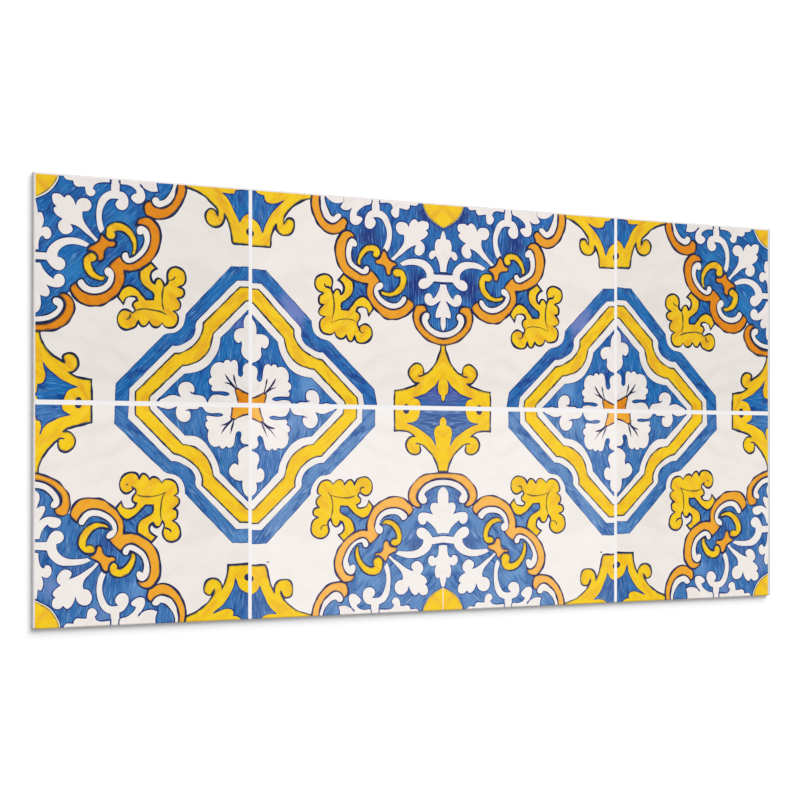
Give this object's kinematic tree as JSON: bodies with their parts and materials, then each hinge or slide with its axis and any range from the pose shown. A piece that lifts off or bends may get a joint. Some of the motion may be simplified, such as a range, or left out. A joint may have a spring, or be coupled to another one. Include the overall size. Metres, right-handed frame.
{
  "type": "peel and stick wall panel",
  "caption": "Thin rectangular self-adhesive wall panel, stuck down by its flat back and butted edge to edge, with a tile-patterned printed face.",
  "frame": {"origin": "middle of the adhesive back face, on the surface that the panel lies on", "axes": "+X along the long side, +Y along the short side towards the top of the pattern, +Z out of the printed face"},
  "size_m": [0.6, 0.3, 0.004],
  "materials": {
    "printed_board": "foamed PVC board with a printed, laminated face; white glaze ground with blue, yellow and orange ornament"
  },
  "bodies": {
    "root": {"panel": "printed_board"}
  },
  "joints": []
}
